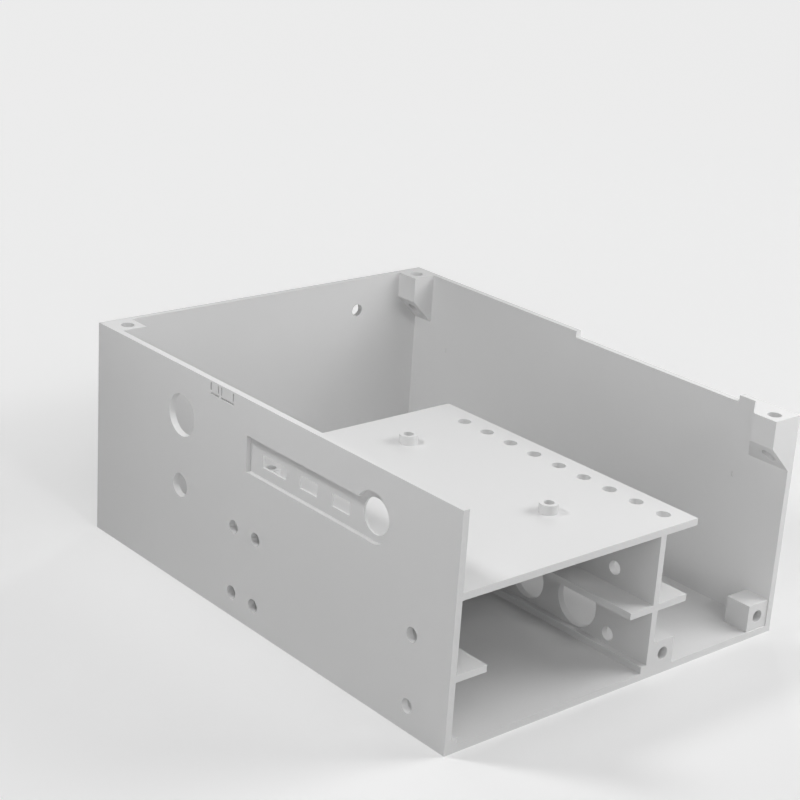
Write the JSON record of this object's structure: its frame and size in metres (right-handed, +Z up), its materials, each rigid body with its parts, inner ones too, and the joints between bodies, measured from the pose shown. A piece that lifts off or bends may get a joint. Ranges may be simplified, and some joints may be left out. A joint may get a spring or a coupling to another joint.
{
  "type": "computer case",
  "caption": "Open-topped computer case with a raised board deck on standoffs above railed drive bays, a cable channel beside them, corner screw blocks and a port recess in one wall.",
  "frame": {"origin": "centre of the footprint on the underside of the base", "axes": "+Z up to the open top, +X along the case towards its open end, -Y out of the wall that has the port recess"},
  "size_m": [0.24, 0.184, 0.0978],
  "materials": {
    "body": "matte"
  },
  "bodies": {
    "root": {"case_body": "body"}
  },
  "joints": []
}
